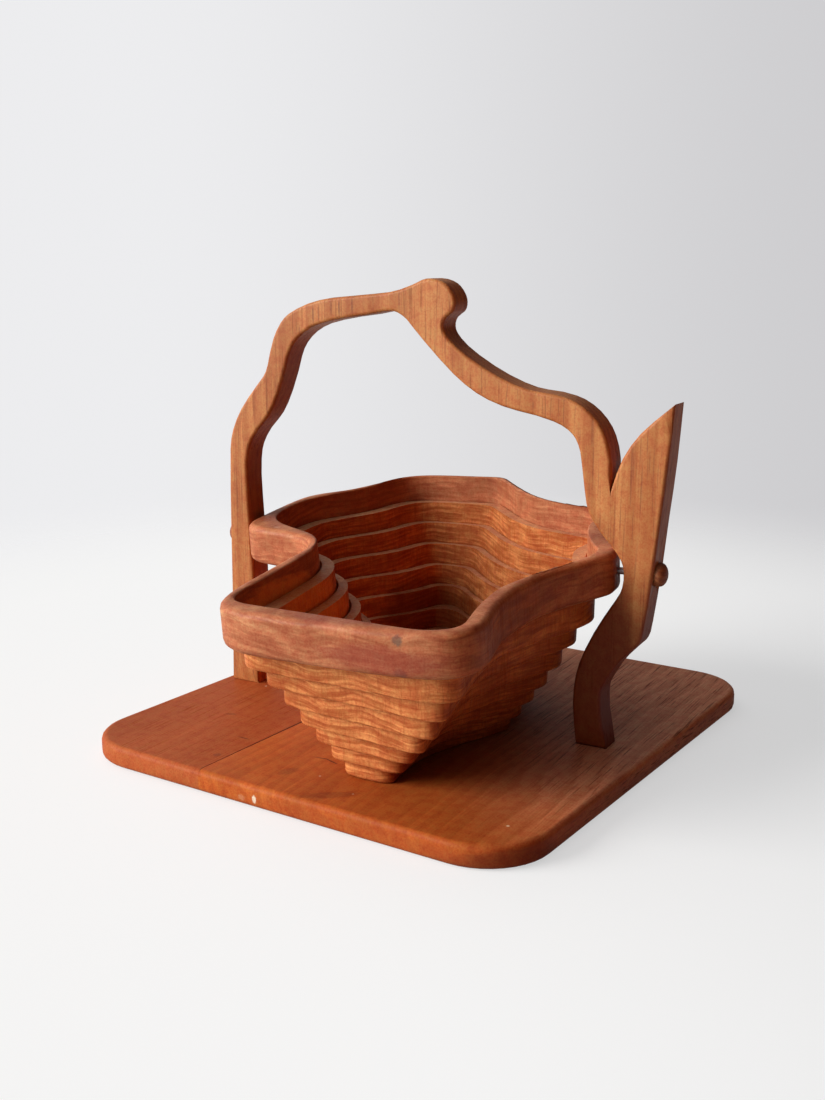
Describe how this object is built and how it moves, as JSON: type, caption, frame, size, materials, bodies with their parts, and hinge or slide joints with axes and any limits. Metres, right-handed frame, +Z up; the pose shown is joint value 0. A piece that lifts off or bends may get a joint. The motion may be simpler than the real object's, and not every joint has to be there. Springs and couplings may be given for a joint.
{
  "type": "collapsible wooden basket",
  "caption": "Collapsible wooden basket: bevel-cut rings hang in steps from a rim that swings on pins in an upright arched handle frame, standing on a round-cornered board.",
  "frame": {"origin": "middle of the board's underside", "axes": "+X along the handle, from its plain post to its finned leg; +Z up; the open front of the basket faces -Y"},
  "size_m": [0.3288, 0.3571, 0.2892],
  "materials": {
    "narrow_plank": "satin oiled",
    "wide_plank": "satin oiled",
    "handle": "satin oiled",
    "plug": "satin oiled",
    "screw": "plain",
    "rim": "satin oiled",
    "ring": "satin oiled",
    "bottom": "satin oiled"
  },
  "bodies": {
    "board": {"board_narrow_plank": "narrow_plank", "board_wide_plank": "wide_plank"},
    "handle": {"handle_frame": "handle", "button_plug_left": "plug", "button_plug_right": "plug"},
    "rim": {"basket_rim": "rim", "pivot_screw_left": "screw", "pivot_screw_right": "screw"},
    "tier_1": {"basket_tier_1": "ring"},
    "tier_2": {"basket_tier_2": "ring"},
    "tier_3": {"basket_tier_3": "ring"},
    "tier_4": {"basket_tier_4": "ring"},
    "tier_5": {"basket_tier_5": "ring"},
    "tier_6": {"basket_tier_6": "ring"},
    "bottom": {"basket_bottom": "bottom"}
  },
  "joints": [
    {"name": "handle_lift", "type": "slide", "parent": "board", "child": "handle", "axis": [0, 0, 1], "range_m": [0, 0.19]},
    {"name": "basket_swing", "type": "hinge", "parent": "handle", "child": "rim", "pos_m": [0, -0.0112, 0.1201], "axis": [0.9998, 0, 0.0175], "range_deg": [0, 84.8]},
    {"name": "tier_1_nest", "type": "hinge", "parent": "rim", "child": "tier_1", "pos_m": [-0.63793, -0.88218, 0.02969], "axis": [0.8081, -0.5878, -0.0394], "range_deg": [0, 0.9203]},
    {"name": "tier_2_nest", "type": "hinge", "parent": "tier_1", "child": "tier_2", "pos_m": [-0.4951, -0.36216, 0.07136], "axis": [0.5812, -0.8116, -0.0586], "range_deg": [0, 1.28]},
    {"name": "tier_3_nest", "type": "hinge", "parent": "tier_2", "child": "tier_3", "pos_m": [-0.51682, -0.4167, 0.06804], "axis": [0.6198, -0.7826, -0.0572], "range_deg": [0, 1.2]},
    {"name": "tier_4_nest", "type": "hinge", "parent": "tier_3", "child": "tier_4", "pos_m": [-0.45331, -0.77062, 0.04799], "axis": [0.8594, -0.509, -0.0494], "range_deg": [0, 0.8655]},
    {"name": "tier_5_nest", "type": "hinge", "parent": "tier_4", "child": "tier_5", "pos_m": [0.2873, -0.83316, 0.02005], "axis": [0.9438, 0.3299, -0.0197], "range_deg": [0, 0.7858]},
    {"name": "tier_6_nest", "type": "hinge", "parent": "tier_5", "child": "tier_6", "pos_m": [0.45967, -0.52476, 0.02287], "axis": [0.7471, 0.6647, -0.0052], "range_deg": [0, 0.992]},
    {"name": "bottom_nest", "type": "hinge", "parent": "tier_6", "child": "bottom", "pos_m": [0.41525, -0.2993, 0.0266], "axis": [0.5749, 0.8182, 0], "range_deg": [0, 1.29]}
  ],
  "couplings": [
    {"joint": "handle_lift", "follows": "basket_swing", "m_per_rad": 0.125},
    {"joint": "tier_2_nest", "follows": "tier_1_nest", "ratio": 1.3912},
    {"joint": "tier_3_nest", "follows": "tier_1_nest", "ratio": 1.3041},
    {"joint": "tier_4_nest", "follows": "tier_1_nest", "ratio": 0.93997},
    {"joint": "tier_5_nest", "follows": "tier_1_nest", "ratio": 0.8534},
    {"joint": "tier_6_nest", "follows": "tier_1_nest", "ratio": 1.0774},
    {"joint": "bottom_nest", "follows": "tier_1_nest", "ratio": 1.3998}
  ]
}
